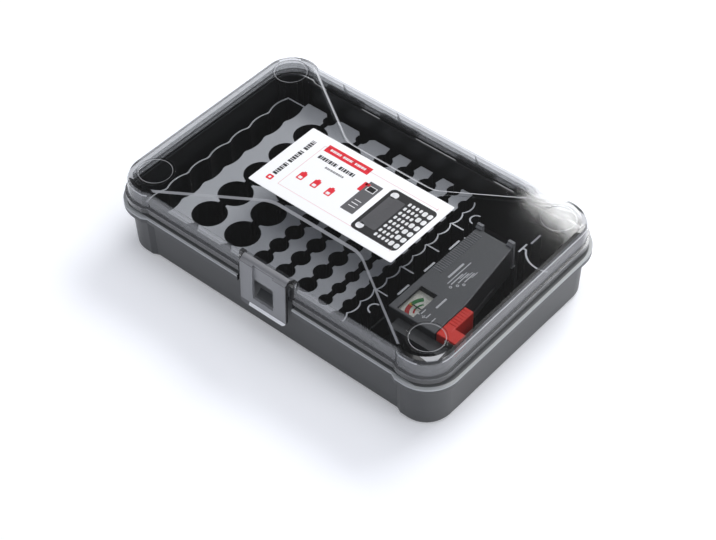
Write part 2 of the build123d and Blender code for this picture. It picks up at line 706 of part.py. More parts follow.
def d_cell_wall():
    """Curved wall of the large seat in the back right corner, with the straight walls beside it."""
    far = 4 * D_R
    ring = Circle(D_R + D_WALL) - Circle(D_R)
    ring -= make_face(Polyline(
        (0, 0), (-far * D_END_X, -far * D_END_Y), (-far, far), (far, far), (far, 0), close=True))
    centre_x = FOOT_X - D_INSET
    centre_y = FOOT_Y - D_INSET
    wall = Pos(centre_x, centre_y) * ring
    link_x = centre_x - D_R * D_END_X
    link_y = centre_y - D_R * D_END_Y
    wall += strip(D_FIN_X, link_x, link_y - D_WALL, link_y)
    wall += strip(D_FIN_X - D_WALL / 2, D_FIN_X + D_WALL / 2, *D_FIN)
    wall += strip(D_REAR_X - D_WALL / 2, D_REAR_X + D_WALL / 2, *D_REAR)
    return slab(wall & inner_plan(SIDE_GAP), FLOOR_T, RACK_TOP)


# ================================================================ battery tester
def tester_plan(inset):
    """Body outline: narrower towards the back along its right edge."""
    outline = make_face(Polyline(
        (TESTER_LEFT + inset, TESTER_FRONT + inset), (TESTER_RIGHT - inset, TESTER_FRONT + inset),
        (TESTER_RIGHT - inset, TAPER_FROM), (TESTER_NARROW - inset, TESTER_BACK - inset),
        (TESTER_LEFT + inset, TESTER_BACK - inset), close=True))
    back = [v for v in outline.vertices() if v.Y > TAPER_FROM + 1]
    return fillet(back, TESTER_CORNER)


def tongue_groove(gap):
    """Space of the slide arm's tongue along the right side, with a gap around it."""
    x0 = ARM_LEFT - TONGUE_DEPTH - gap
    low = TONGUE_LOW - gap
    high = TONGUE_LOW + TONGUE_H + gap
    return box(x0, TESTER_RIGHT + 1, ARM_FRONT - gap, TESTER_BACK + 1, low, high)


def tester_housing():
    body = slab(tester_plan(0), TESTER_LOW, TESTER_TOP)
    top_edges = body.faces().sort_by(Axis.Z)[-1].edges()
    body = fillet(top_edges, TESTER_EDGE)
    body -= slab(tester_plan(SHELL_T), TESTER_LOW, TESTER_TOP - SHELL_T)
    rail_x = ARM_LEFT - TONGUE_DEPTH - SIDE_GAP - SHELL_T
    rail = tester_plan(0) & strip(rail_x, TESTER_RIGHT + 1, TESTER_FRONT, TESTER_BACK)
    body += slab(rail, TONGUE_LOW - SIDE_GAP - SHELL_T, TONGUE_LOW + TONGUE_H + SIDE_GAP + SHELL_T)
    body -= tongue_groove(SIDE_GAP)
    body -= box(WIN_LEFT, WIN_RIGHT, WIN_FRONT, WIN_BACK, DIAL_Z, TESTER_TOP + 1)
    for x, y in SCREW_PLACES:
        low = TESTER_LOW + COVER_T
        height = TESTER_TOP - SHELL_T - low
        body += Pos(x, y, low + height / 2) * Cylinder(SCREW_SHANK + POST_WALL, height)
        body -= Pos(x, y, low) * Cylinder(SCREW_SHANK + SEAT_GAP, SCREW_LEN * 2)
    return body


def tester_cover():
    """Bottom cover let into the housing, with countersunk screw holes."""
    cover = slab(tester_plan(SHELL_T + COVER_GAP), TESTER_LOW, TESTER_LOW + COVER_T)
    stand = DIAL_Z - DIAL_T - METER_H - TESTER_LOW - COVER_T
    middle_x = (WIN_LEFT + NEEDLE_X) / 2
    for y in (WIN_FRONT + STAND_INSET, WIN_BACK - STAND_INSET):
        cover += Pos(middle_x, y, TESTER_LOW + COVER_T + stand / 2) * Cylinder(STAND_R, stand)
    for x, y in SCREW_PLACES:
        cover -= Pos(x, y, TESTER_LOW + COVER_T / 2) * Cylinder(SCREW_SHANK + SEAT_GAP, COVER_T)
        cover -= Pos(x, y, TESTER_LOW + COVER_T / 4) * Cylinder(SCREW_R + SEAT_GAP, COVER_T / 2)
    return cover


def load_resistor():
    """Wire-ended resistor that loads the cell under test, lying on the cover."""
    z = TESTER_LOW + COVER_T + RESISTOR_R
    body = rod_x(RESISTOR_X - RESISTOR_LEN / 2, RESISTOR_X + RESISTOR_LEN / 2, RESISTOR_Y, z, RESISTOR_R)
    return body + rod_x(RESISTOR_X - RESISTOR_LEN, RESISTOR_X + RESISTOR_LEN, RESISTOR_Y, z, RESISTOR_R / 4)


def nine_volt_contacts():
    """Two sheet contacts let into the front face of the end cap."""
    face = TESTER_FRONT - CAP_Y
    middle = (CAP_LEFT + TESTER_RIGHT) / 2
    half = NINE_VOLT_W / 2
    low = TESTER_LOW + NINE_VOLT_EDGE
    high = CAP_TOP - NINE_VOLT_EDGE
    pads = [box(middle + x - half, middle + x + half, face, face + CONTACT_T, low, high)
            for x in (-NINE_VOLT_PITCH / 2, NINE_VOLT_PITCH / 2)]
    return Compound(children=pads)


def tester_screws():
    screws = []
    for x, y in SCREW_PLACES:
        head = Pos(x, y, TESTER_LOW + COVER_T / 4) * Cylinder(SCREW_R, COVER_T / 2)
        shank = Pos(x, y, TESTER_LOW + SCREW_LEN / 2) * Cylinder(SCREW_SHANK, SCREW_LEN)
        screws.append(head + shank)
    return Compound(children=screws)


def end_cap():
    """Lower stepped end with the fixed contact's shoulder."""
    cap = box(CAP_LEFT, CAP_RIGHT, TESTER_FRONT - CAP_Y, TESTER_FRONT, TESTER_LOW, CAP_TOP)
    upright = [e for e in cap.edges().filter_by(Axis.Z) if e.center().Y < TESTER_FRONT - CAP_Y / 2]
    cap = fillet(upright, CAP_CORNER)
    for pad in nine_volt_contacts().solids():
        cap -= pad
    return cap


def fixed_contact():
    """Sheet contact on the shoulder, facing the foot of the slide arm."""
    low = TONGUE_LOW + CONTACT_EDGE
    high = CAP_TOP - CONTACT_EDGE
    return box(ARM_RIGHT, CAP_RIGHT - CONTACT_EDGE, TESTER_FRONT, TESTER_FRONT + CONTACT_T, low, high)


def slide_arm():
    """L-shaped arm: long grip, foot and the tongue that runs in the housing's groove."""
    arm = box(ARM_LEFT, ARM_RIGHT, ARM_FRONT, ARM_BACK, ARM_LOW, TESTER_TOP)
    foot = box(ARM_LEFT, FOOT_TIP, FOOT_FRONT + CONTACT_T, FOOT_BACK, FOOT_LOW, TESTER_TOP)
    arm = arm + foot
    upright = [e for e in arm.edges().filter_by(Axis.Z) if e.center().X > ARM_RIGHT + 1]
    arm = fillet(upright, ARM_CORNER)
    arm += box(ARM_LEFT - TONGUE_DEPTH, ARM_LEFT, ARM_FRONT, ARM_BACK, TONGUE_LOW, TONGUE_LOW + TONGUE_H)
    return arm


def arm_contact():
    """Sheet contact on the foot of the arm."""
    low = FOOT_LOW + CONTACT_EDGE
    high = TESTER_TOP - CONTACT_EDGE
    return box(ARM_RIGHT, FOOT_TIP - CONTACT_EDGE, FOOT_FRONT, FOOT_FRONT + CONTACT_T, low, high)


def meter_window():
    low = TESTER_TOP - WINDOW_T - WINDOW_SUNK
    return box(WIN_LEFT, WIN_RIGHT, WIN_FRONT, WIN_BACK, low, low + WINDOW_T)


def meter_dial():
    front = WIN_FRONT + DIAL_EDGE
    back = WIN_BACK - DIAL_EDGE
    plate = box(WIN_LEFT - DIAL_EDGE, NEEDLE_X + PIVOT_REACH, front, back, DIAL_Z - DIAL_T, DIAL_Z)
    return plate - Pos(NEEDLE_X, NEEDLE_Y, DIAL_Z) * Cylinder(PIVOT_R + RUN_GAP, DIAL_T * 2)


def meter_movement():
    """Moving-coil block below the dial with its pivot post."""
    high = DIAL_Z - DIAL_T
    right = NEEDLE_X + PIVOT_REACH
    block = box(WIN_LEFT, right, WIN_FRONT + BLOCK_EDGE, WIN_BACK - BLOCK_EDGE, high - METER_H, high)
    post_top = NEEDLE_Z - NEEDLE_T - RUN_GAP
    post = Pos(NEEDLE_X, NEEDLE_Y, (high + post_top) / 2) * Cylinder(PIVOT_R, post_top - high)
    return block + post


def meter_needle():
    """Pointer with its hub above the dial."""
    hub = Pos(NEEDLE_X, NEEDLE_Y, NEEDLE_Z) * Cylinder(HUB_R, NEEDLE_T * 2)
    tip = box(NEEDLE_X - NEEDLE_LEN, NEEDLE_X, NEEDLE_Y - NEEDLE_W / 2, NEEDLE_Y + NEEDLE_W / 2,
              NEEDLE_Z - NEEDLE_T / 2, NEEDLE_Z + NEEDLE_T / 2)
    return hub + tip


PARTS = {
    "base_tray": base_tray,
    "latch_catch": latch_catch,
    "hinge_pins": hinge_pins,
    "cell_rack": cell_rack,
    "aa_rack": aa_rack,
    "aaa_rack": aaa_rack,
    "side_trough": side_trough,
    "wavy_divider": wavy_divider,
    "tester_bay": tester_bay,
    "d_cell_wall": d_cell_wall,
    "lid": lid,
    "label_card": label_card,
    "latch": latch,
    "latch_pin": latch_pin,
    "tester_housing": tester_housing,
    "tester_cover": tester_cover,
    "tester_screws": tester_screws,
    "tester_end_cap": end_cap,
    "fixed_contact": fixed_contact,
    "nine_volt_contacts": nine_volt_contacts,
    "load_resistor": load_resistor,
    "slide_arm": slide_arm,
    "arm_contact": arm_contact,
    "meter_window": meter_window,
    "meter_dial": meter_dial,
    "meter_movement": meter_movement,
    "meter_needle": meter_needle,
}


def main():
    os.makedirs("parts", exist_ok=True)
    for name, make in PARTS.items():
        export_step(make(), f"parts/{name}.step")


main()
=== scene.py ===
"""Dresses the battery organiser case: finishes with painted light and shade, printed marks, small moulded
detail, stage and camera.
"""

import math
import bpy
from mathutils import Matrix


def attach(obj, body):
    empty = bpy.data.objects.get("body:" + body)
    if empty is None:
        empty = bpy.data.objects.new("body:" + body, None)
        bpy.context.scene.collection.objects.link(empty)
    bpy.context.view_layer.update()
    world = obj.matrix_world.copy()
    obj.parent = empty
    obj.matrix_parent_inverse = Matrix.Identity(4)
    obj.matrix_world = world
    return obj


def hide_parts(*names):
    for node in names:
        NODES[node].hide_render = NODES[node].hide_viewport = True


bl_info = {
    "name": "Battery Organiser Case",
    "version": (1, 0, 0),
    "blender": (4, 5, 0),
    "location": "3D View > Sidebar > Battery Case",
    "description": "Finishes and small detail of a battery organiser case with a clear lid and a cell tester",
    "category": "Add Mesh",
}

import bmesh
import bpy
from mathutils import Matrix, Vector

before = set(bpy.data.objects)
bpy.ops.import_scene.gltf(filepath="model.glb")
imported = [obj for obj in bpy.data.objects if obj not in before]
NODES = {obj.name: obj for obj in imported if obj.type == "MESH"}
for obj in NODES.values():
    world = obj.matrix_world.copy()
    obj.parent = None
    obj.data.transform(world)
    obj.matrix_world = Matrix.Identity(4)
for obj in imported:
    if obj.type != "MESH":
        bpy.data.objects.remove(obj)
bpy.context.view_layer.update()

MM = 0.001

# Places on the solids that the coloured zones follow, in metres; most zones are painted light and shade. X, Y
# and R are reaches from the middle of the case or of a corner, and the rest are heights.
TRAY_CORNER_X, TRAY_CORNER_Y = 0.1229, 0.0696
TRAY_INSIDE_R = 0.0186
FLANGE_BRINK_R = 0.0259
FLANGE_BRINK_Y = 0.0937            # where the front and the back are recessed
FLANGE_LOW = 0.0415
RIM_LOW = 0.0434
TRAY_GAP_X = (0.0212, 0.0254)      # the flange is cut away beside the latch
TRAY_GAP_Y = -0.085
TRAY_GAP_LOW = 0.0365
DECK_LOW = 0.03195                 # a hair under the deck's top face
CLIP_LOW = 0.0325
LID_LIP_TOP = 0.0508
LID_SEAM = (0.0502, 0.0516)
LID_WALL_TOP = 0.0612
LID_SHOULDER_TOP = 0.0624
LID_BORDER = (0.1435, 0.0915)
LID_AWAY = (-0.1415, 0.085)        # the left and the back edge
LID_GAP_X = (0.0214, 0.0256)
LID_GAP_Y = -0.087
LID_CROWN = (0.1415, 0.0876)
LID_SLOPE = (0.06405, 0.06555)
LID_BRIM = (0.0645, 0.06555)
RIDGE_KNEE = (0.0402, 0.0395)
RIDGE_HALF_SLOPE = 0.325           # half of the ridge's slope in plan
RIDGE_ROUND = 0.00001              # square of the rounding at the knee
RIDGE_LINE = 0.0009
FIELD_TOP = 0.0655
RING_CENTRE = (0.1248, 0.0721)
RING_LOW = 0.06575
RING_OUTER = (0.0139, 0.0003)      # radius and half width of the line
RING_INNER = (0.0124, 0.00025)
BARREL_Y = 0.0925
BARREL_TOP = 0.0496
LATCH_PLATE_TOP = 0.0645
LATCH_EDGE_X = 0.0209
LATCH_BROW = (0.0613, 0.0619)
LATCH_LIP = (-0.0968, 0.0268)
LATCH_SHINE_X = -0.0125


# ---------------------------------------------------------------- sizes and colours

class CaseColours(bpy.types.PropertyGroup):
    """Colours of the case's materials, in linear values."""

    tray: bpy.props.FloatVectorProperty(
        name="Tray", description="Moulded plastic of the tray", size=3, subtype="COLOR",
        min=0, max=1, default=(0.078, 0.080, 0.080))
    # Painted light: the insert's top faces take this lighter colour for the light that falls on them from
    # above; the insert is one dark plastic.
    lit_deck: bpy.props.FloatVectorProperty(
        name="Deck", description="Lit top faces of the insert", size=3, subtype="COLOR",
        min=0, max=1, default=(0.62, 0.625, 0.64))
    well: bpy.props.FloatVectorProperty(
        name="Wells", description="Shaded inner walls of the tray and the seats", size=3, subtype="COLOR",
        min=0, max=1, default=(0.010, 0.0105, 0.012))
    tester: bpy.props.FloatVectorProperty(
        name="Tester", description="Moulded plastic of the tester body", size=3, subtype="COLOR",
        min=0, max=1, default=(0.085, 0.086, 0.089))
    smoke: bpy.props.FloatVectorProperty(
        name="Smoke tint", description="What one face of the clear lid lets through", size=3, subtype="COLOR",
        min=0, max=1, default=(0.915, 0.92, 0.925))
    arm: bpy.props.FloatVectorProperty(
        name="Slide arm", description="Red plastic of the tester's arm", size=3, subtype="COLOR",
        min=0, max=1, default=(0.86, 0.045, 0.03))
    print_red: bpy.props.FloatVectorProperty(
        name="Print red", description="Red ink on the card", size=3, subtype="COLOR",
        min=0, max=1, default=(0.72, 0.006, 0.022))
    card: bpy.props.FloatVectorProperty(
        name="Card", description="White card stock", size=3, subtype="COLOR",
        min=0, max=1, default=(0.9, 0.9, 0.9))


class CaseSizes(bpy.types.PropertyGroup):
    """Sizes of what the scene adds to the frame, and of its stage."""

    azimuth: bpy.props.FloatProperty(
        name="Camera azimuth", description="Turn of the camera about the case", subtype="ANGLE",
        default=math.radians(41.36))
    elevation: bpy.props.FloatProperty(
        name="Camera elevation", description="Height angle of the camera", subtype="ANGLE",
        default=math.radians(45.77))
    roll: bpy.props.FloatProperty(
        name="Camera roll", description="Tilt of the picture", subtype="ANGLE", default=math.radians(-1.15))
    distance: bpy.props.FloatProperty(
        name="Camera distance", description="From the point looked at", unit="LENGTH", default=1.2799)
    look_x: bpy.props.FloatProperty(
        name="Look X", description="Point looked at, along the long side", unit="LENGTH", default=0.00802)
    look_y: bpy.props.FloatProperty(
        name="Look Y", description="Point looked at, across the case", unit="LENGTH", default=-0.00619)
    lens: bpy.props.FloatProperty(
        name="Lens", description="Focal length in millimetres on a 36 mm sensor", default=88.66)
    floor_size: bpy.props.FloatProperty(
        name="Floor", description="Side of the pale floor", unit="LENGTH", default=9.0)


# ---------------------------------------------------------------- shader helpers

class Value:
    """A number socket of a shader; arithmetic on it adds Math nodes."""

    def __init__(self, shader, socket):
        self.shader = shader
        self.socket = socket

    def math(self, operation, first, second=None):
        inputs = {0: first} if second is None else {0: first, 1: second}
        return Value(self.shader, self.shader.node(
            "ShaderNodeMath", {"operation": operation}, inputs).outputs[0])

    def __add__(self, other):
        return self.math("ADD", self, other)

    def __sub__(self, other):
        return self.math("SUBTRACT", self, other)

    def __rsub__(self, other):
        return self.math("SUBTRACT", other, self)

    def __mul__(self, other):
        return self.math("MULTIPLY", self, other)

    def __pow__(self, other):
        return self.math("POWER", self, other)

    def size(self):
        return self.math("ABSOLUTE", self)

    def least(self, limit):
        return self.math("MAXIMUM", self, limit)

    def hypot(self, other):
        return (self * self + other * other) ** 0.5

    def less(self, limit):
        return self.math("LESS_THAN", self, limit)

    def more(self, limit):
        return self.math("GREATER_THAN", self, limit)

    def within(self, limits):
        return self.more(limits[0]) * self.less(limits[1])

    def either(self, other):
        """One where one of two masks is one."""
        return (self + other).more(0.5)


class Shader:
    """A material and its node tree."""

    def __init__(self, name):
        self.material = bpy.data.materials.new(name)
        self.material.use_nodes = True
        self.tree = self.material.node_tree
        self.tree.nodes.clear()
        self.coordinates = self.node("ShaderNodeTexCoord").outputs["Object"]
        split = self.node("ShaderNodeSeparateXYZ", None, {"Vector": self.coordinates})
        self.x, self.y, self.z = (Value(self, out) for out in split.outputs)

    def node(self, kind, settings=None, inputs=None):
        made = self.tree.nodes.new(kind)
        for key, setting in (settings or {}).items():
            setattr(made, key, setting)
        for key, value in (inputs or {}).items():
            socket = made.inputs[key]
            if isinstance(value, Value):
                self.tree.links.new(value.socket, socket)
            elif isinstance(value, bpy.types.NodeSocket):
                self.tree.links.new(value, socket)
            else:
                socket.default_value = value
        return made

    def noise(self, scale, detail=2.0, roughness=0.5):
        made = self.node("ShaderNodeTexNoise", None, {
            "Vector": self.coordinates, "Scale": scale, "Detail": detail, "Roughness": roughness})
        return Value(self, made.outputs["Fac"])

    def blend(self, amount, low, high):
        """Colour between two colours."""
        mix = self.node("ShaderNodeMix", {"data_type": "RGBA"}, {"Factor": amount})
        for name, colour in (("A", low), ("B", high)):
            socket = [s for s in mix.inputs if s.name == name and s.type == "RGBA"][0]
            if isinstance(colour, bpy.types.NodeSocket):
                self.tree.links.new(colour, socket)
            else:
                socket.default_value = opaque(colour)
        return [s for s in mix.outputs if s.type == "RGBA"][0]

    def bump(self, height, strength, distance):
        """Surface grain on top of softly rounded edges."""
        soft = self.node("ShaderNodeBevel", {"samples": 6}, {"Radius": 0.4 * MM})
        return self.node("ShaderNodeBump", None, {
            "Height": height, "Strength": strength, "Distance": distance,
            "Normal": soft.outputs["Normal"]}).outputs["Normal"]

    def finish(self, shader_socket):
        output = self.node("ShaderNodeOutputMaterial")
        self.tree.links.new(shader_socket, output.inputs["Surface"])
        return self.material


def opaque(colour):
    return (colour[0], colour[1], colour[2], 1.0)


def shade(colour, factor):
    return tuple(min(1.0, c * factor) for c in colour[:3])


def grey(level):
    """Slightly cool grey."""
    return (level, level * 1.005, level * 1.03, 1.0)


# ---------------------------------------------------------------- materials

def moulded_plastic(name, colour, roughness=0.42, zones=None):
    """Injection-moulded plastic: fine spark texture and a faint unevenness of tone.

    zones takes the shader and gives (share, colour) pairs that are laid over the plain colour: painted light
    and shade.
    """
    s = Shader(name)
    cloud = s.noise(22, 3.0)
    fine = s.noise(2600, 2.0, 0.6)
    tone = s.blend(cloud, shade(colour, 0.9), shade(colour, 1.1))
    for share, other in (zones(s) if zones else ()):
        tone = s.blend(share, tone, other)
    rough = cloud * 0.08 + fine * 0.06 + (roughness - 0.07)
    surface = s.node("ShaderNodeBsdfPrincipled", None, {
        "Base Color": tone, "Roughness": rough,
        "Normal": s.bump(fine, 0.25, 0.04 * MM)})
    return s.finish(surface.outputs[0])


def clear_plastic(name, tint, haze, haze_amount, polish=0.04, reflect=0.04, zones=None):
    """Clear moulded plastic: tinted where it is looked through, mirror-bright at low angles.

    zones takes the shader and gives (share, amount, colour) triples of places where a colour is laid over the
    clear plastic; most of them are painted highlights, painted reflections and painted shade.
    """
    s = Shader(name)
    flow = s.noise(9, 2.0)
    through = s.node("ShaderNodeBsdfTransparent", None, {"Color": opaque(tint)})
    tone = s.blend(flow, shade(haze, 0.95), shade(haze, 1.05))
    haze_and_painted_light = flow * 0.01 + (haze_amount - 0.005)
    # The zones' painted light and shade ride on the haze share.
    for share, amount, colour in (zones(s) if zones else ()):
        tone = s.blend(share, tone, colour)
        haze_and_painted_light = haze_and_painted_light * (1 - share) + share * amount
    haze_and_painted_layer = s.node("ShaderNodeBsdfPrincipled", None, {"Base Color": tone, "Roughness": 0.35})
    gloss = s.node("ShaderNodeBsdfPrincipled", None, {
        "Base Color": (1, 1, 1, 1), "Metallic": 1.0, "Roughness": flow * 0.03 + polish})
    inner = s.node("ShaderNodeMixShader", None, {"Fac": haze_and_painted_light, 1: through.outputs[0], 2: haze_and_painted_layer.outputs[0]})
    facing = Value(s, s.node("ShaderNodeLayerWeight", None, {"Blend": 0.5}).outputs["Facing"])
    edge = facing ** 5.0 * (1 - reflect) + reflect
    mixed = s.node("ShaderNodeMixShader", None, {
        "Fac": edge, 1: inner.outputs[0], 2: gloss.outputs[0]})
    return s.finish(mixed.outputs[0])


def sheet_metal(name, colour):
    """Bright rolled metal with a faint streak."""
    s = Shader(name)
    streak = s.noise(900, 3.0)
    surface = s.node("ShaderNodeBsdfPrincipled", None, {
        "Base Color": s.blend(streak, shade(colour, 0.85), shade(colour, 1.05)),
        "Metallic": 1.0, "Roughness": streak * 0.15 + 0.23})
    return s.finish(surface.outputs[0])


def printed_card(name, colour):
    """Coated card or ink: almost flat, with a trace of paper fibre."""
    s = Shader(name)
    fibre = s.noise(1500, 3.0)
    surface = s.node("ShaderNodeBsdfPrincipled", None, {
        "Base Color": s.blend(fibre, shade(colour, 0.97), shade(colour, 1.02)),
        "Roughness": fibre * 0.1 + 0.45, "Normal": s.bump(fibre, 0.1, 0.02 * MM)})
    return s.finish(surface.outputs[0])


def floor_material(name, albedo, lift):
    """Pale floor that stays white behind the case and keeps its shadow."""
    s = Shader(name)
    path = s.node("ShaderNodeLightPath").outputs
    camera, glossy, through = (
        Value(s, path["Is %s Ray" % kind]) for kind in ("Camera", "Glossy", "Transmission"))
    seen = camera + glossy + through
    plain = s.node("ShaderNodeBsdfDiffuse", None, {"Color": opaque(albedo)})
    glow = s.node("ShaderNodeEmission", None, {"Color": (1, 1, 1, 1), "Strength": seen * lift})
    both = s.node("ShaderNodeAddShader", None, {0: plain.outputs[0], 1: glow.outputs[0]})
    return s.finish(both.outputs[0])


def dress(node, material):
    """Gives a carried-over node one finish."""
    mesh = NODES[node].data
    mesh.materials.clear()
    mesh.materials.append(material)


# ---------------------------------------------------------------- mesh helpers

def finish_piece(name, mesh, body, materials, replaces=()):
    """Turns a bmesh into an object that rides on a body."""
    bmesh.ops.recalc_face_normals(mesh, faces=mesh.faces)
    data = bpy.data.meshes.new(name)
    mesh.to_mesh(data)
    mesh.free()
    piece = bpy.data.objects.new(name, data)
    bpy.context.scene.collection.objects.link(piece)
    for material in materials:
        data.materials.append(material)
    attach(piece, body)
    if replaces:
        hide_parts(*replaces)
    return piece


def add_plate(mesh, centre, size, thickness, corner=0.0, material=0):
    """Flat plate with rounded corners, its underside at centre's height."""
    middle = (centre[0], centre[1], centre[2] + thickness / 2)
    made = bmesh.ops.create_cube(mesh, size=1.0, matrix=(
        Matrix.Translation(middle) @ Matrix.Diagonal((size[0], size[1], thickness, 1))))
    for face in {f for v in made["verts"] for f in v.link_faces}:
        face.material_index = material
    if corner > 0:
        edges = {e for v in made["verts"] for e in v.link_edges}
        upright = [e for e in edges if abs(e.verts[0].co.z - e.verts[1].co.z) > thickness / 2]
        bmesh.ops.bevel(mesh, geom=upright, offset=corner, offset_type="OFFSET", affect="EDGES",
                        segments=5, profile=0.5, material=-1)


def add_box(mesh, low, high, material=0, bevel=0.0):
    """Box between two corners, with rounded edges if asked for."""
    middle = [(a + b) / 2 for a, b in zip(low, high)]
    size = [b - a for a, b in zip(low, high)]
    made = bmesh.ops.create_cube(mesh, size=1.0, matrix=(
        Matrix.Translation(middle) @ Matrix.Diagonal((*size, 1))))
    for face in {f for v in made["verts"] for f in v.link_faces}:
        face.material_index = material
    if bevel > 0:
        edges = list({e for v in made["verts"] for e in v.link_edges})
        bmesh.ops.bevel(mesh, geom=edges, offset=bevel, offset_type="OFFSET", affect="EDGES",
                        segments=3, profile=0.5, material=-1)


def add_arc(mesh, centre, inner, outer, start, stop, low, high, material=0):
    """Flat ring segment about a vertical axis; the angles are in degrees."""
    first = math.radians(start)
    way = Vector((math.cos(first), math.sin(first), 0))
    middle = Vector((centre[0], centre[1], 0))
    corners = [mesh.verts.new(middle + way * r + Vector((0, 0, z)))
               for r, z in ((inner, low), (outer, low), (outer, high), (inner, high))]
    face = mesh.faces.new(corners)
    face.material_index = material
    bmesh.ops.spin(mesh, geom=[face] + list(face.edges) + corners, cent=middle, axis=(0, 0, 1),
                   angle=math.radians(stop - start), steps=12)


def mm(*values):
    return tuple(v * MM for v in values)


# ---------------------------------------------------------------- operators

class DressTray(bpy.types.Operator):
    """Finish of the tray, with painted light and shade"""

    bl_idname = "battery_case.tray"
    bl_label = "Tray"

    def execute(self, context):
        colours = context.scene.case_colours

        def zones(s):
            """Painted light and shade: a painted highlight on the flange's top and a brighter one on its
            brink; painted shade on the rim, in the gaps beside the latch and on the inside.
            """
            aside = (s.x.size() - TRAY_CORNER_X).least(0.0)
            along = (s.y.size() - TRAY_CORNER_Y).least(0.0)
            reach = aside.hypot(along)
            inside = reach.less(TRAY_INSIDE_R)
            shelf = s.z.within((FLANGE_LOW, RIM_LOW))
            brink = shelf * reach.more(FLANGE_BRINK_R).either(s.y.size().more(FLANGE_BRINK_Y))
            rim = s.z.more(RIM_LOW)
            gap = s.x.size().within(TRAY_GAP_X) * s.y.less(TRAY_GAP_Y) * s.z.more(TRAY_GAP_LOW)
            return ((shelf, opaque(shade(colours.tray, 1.7))), (brink, opaque(shade(colours.tray, 6.0))),
                    (rim, opaque(shade(colours.well, 2.0))),
                    (gap, opaque(colours.well)), (inside, opaque(colours.well)))

        plastic = moulded_plastic("tray_plastic", colours.tray, zones=zones)
        for node in ("base_tray", "latch_catch"):
            dress(node, plastic)
        return {"FINISHED"}


class DressRack(bpy.types.Operator):
    """Finish of the moulded insert, with painted light on its top faces and edges"""

    bl_idname = "battery_case.rack"
    bl_label = "Rack and dividers"

    def execute(self, context):
        colours = context.scene.case_colours

        # Painted light: top faces above DECK_LOW take the lighter top colour.
        def painted_top_light(s):
            return ((s.z.more(DECK_LOW), opaque(colours.lit_deck)),)

        # Painted highlight: the thin walls' top edges take a still lighter copy.
        def painted_edge_light(s):
            return ((s.z.more(DECK_LOW), opaque(shade(colours.lit_deck, 1.4))),)

        plastic = moulded_plastic("rack_plastic", colours.well, zones=painted_top_light)
        for node in ("cell_rack", "aa_rack", "aaa_rack", "side_trough"):
            dress(node, plastic)
        thin = moulded_plastic("divider_plastic", colours.well, 0.4, zones=painted_edge_light)
        for node in ("wavy_divider", "d_cell_wall"):
            dress(node, thin)

        # Painted light: the clips' upper parts take a dimmer copy of the lit top colour.
        def painted_clip_light(s):
            return painted_edge_light(s) + ((s.z.more(CLIP_LOW), opaque(shade(colours.lit_deck, 0.4))),)

        dress("tester_bay", moulded_plastic("bay_plastic", colours.well, 0.4, zones=painted_clip_light))
        return {"FINISHED"}


class DressLid(bpy.types.Operator):
    """Finish of the clear lid and the latch, with painted light and shade"""

    bl_idname = "battery_case.lid"
    bl_label = "Lid and latch"

    def execute(self, context):
        colours = context.scene.case_colours

        def lid_zones(s):
            """Painted light and shade: greyer side walls for a painted reflection, painted highlight lines
            and painted shade lines at the edges and beside the latch, light and dark lines at the rings, dark
            hinge barrels.
            """
            wide, deep = s.x.size(), s.y.size()
            wall = s.z.less(LID_WALL_TOP)
            border = wide.more(LID_BORDER[0]).either(deep.more(LID_BORDER[1]))
            shoulder = border * s.z.within((LID_WALL_TOP, LID_SHOULDER_TOP))
            away = s.y.more(LID_AWAY[1]).either(s.x.less(LID_AWAY[0]))
            lip = s.z.less(LID_LIP_TOP)
            seam = s.z.within(LID_SEAM)
            gap = wide.within(LID_GAP_X) * s.y.less(LID_GAP_Y)
            far = wide.more(LID_CROWN[0]).either(deep.more(LID_CROWN[1]))
            brim = far * s.z.within(LID_BRIM)
            ridge = (1 - far) * s.z.within(LID_SLOPE)
            past = wide - RIDGE_KNEE[0]
            bend = (past + (past * past + RIDGE_ROUND) ** 0.5) * RIDGE_HALF_SLOPE
            beside = deep - RIDGE_KNEE[1] - bend
            rib = beside.within((-RIDGE_LINE, 0.0)) * s.y.more(0.0) * s.z.more(FIELD_TOP) * (1 - far)
            over = s.z.more(RING_LOW)
            reach = (wide - RING_CENTRE[0]).hypot(deep - RING_CENTRE[1])
            outer = over * (reach - RING_OUTER[0]).size().less(RING_OUTER[1])
            inner = over * (reach - RING_INNER[0]).size().less(RING_INNER[1])
            barrel = s.y.more(BARREL_Y) * s.z.less(BARREL_TOP)
            # Painted reflection on the walls; painted shade on the lip, the seam, the gaps, the brim and the
            # left and back shoulder; painted highlights on the shoulder, the ridge and its rib.
            return ((wall, 0.36, grey(0.32)), (lip, 0.75, grey(0.03)), (seam, 0.5, grey(0.2)),
                    (shoulder, 0.65, grey(0.7)), (shoulder * away, 0.65, grey(0.06)),
                    (gap, 0.85, grey(0.01)), (brim, 0.72, grey(0.012)), (ridge, 0.62, grey(0.6)),
                    (rib, 0.7, grey(0.7)), (outer, 0.7, grey(0.01)), (inner, 0.55, grey(0.5)),
                    (barrel, 0.8, grey(0.012)))

        def latch_zones(s):
            """Painted light and shade: a grey plate for a painted reflection, painted shade at its brow and
            outer edges, and a painted highlight where its pull lip catches the light.
            """
            plate = s.z.less(LATCH_PLATE_TOP)
            brow = s.z.within(LATCH_BROW)
            lip = s.z.less(LATCH_LIP[1]) * s.y.less(LATCH_LIP[0])
            shine = lip * s.x.more(LATCH_SHINE_X)
            edge = s.x.size().more(LATCH_EDGE_X)
            return ((plate, 0.6, grey(0.36)), (brow, 0.8, grey(0.03)), (lip, 0.8, grey(0.12)),
                    (shine, 0.97, (1.0, 1.0, 1.0, 1.0)), (edge, 0.85, grey(0.012)))

        dark = (0.05, 0.052, 0.055)
        dress("lid", clear_plastic("smoke_lid", colours.smoke, dark, 0.03, 0.05, 0.045, lid_zones))
        dress("latch", clear_plastic("smoke_latch", colours.smoke, dark, 0.06, 0.06, 0.045, latch_zones))
        steel = sheet_metal("pin_steel", (0.5, 0.5, 0.5))
        dress("hinge_pins", steel)
        dress("latch_pin", steel)
        return {"FINISHED"}


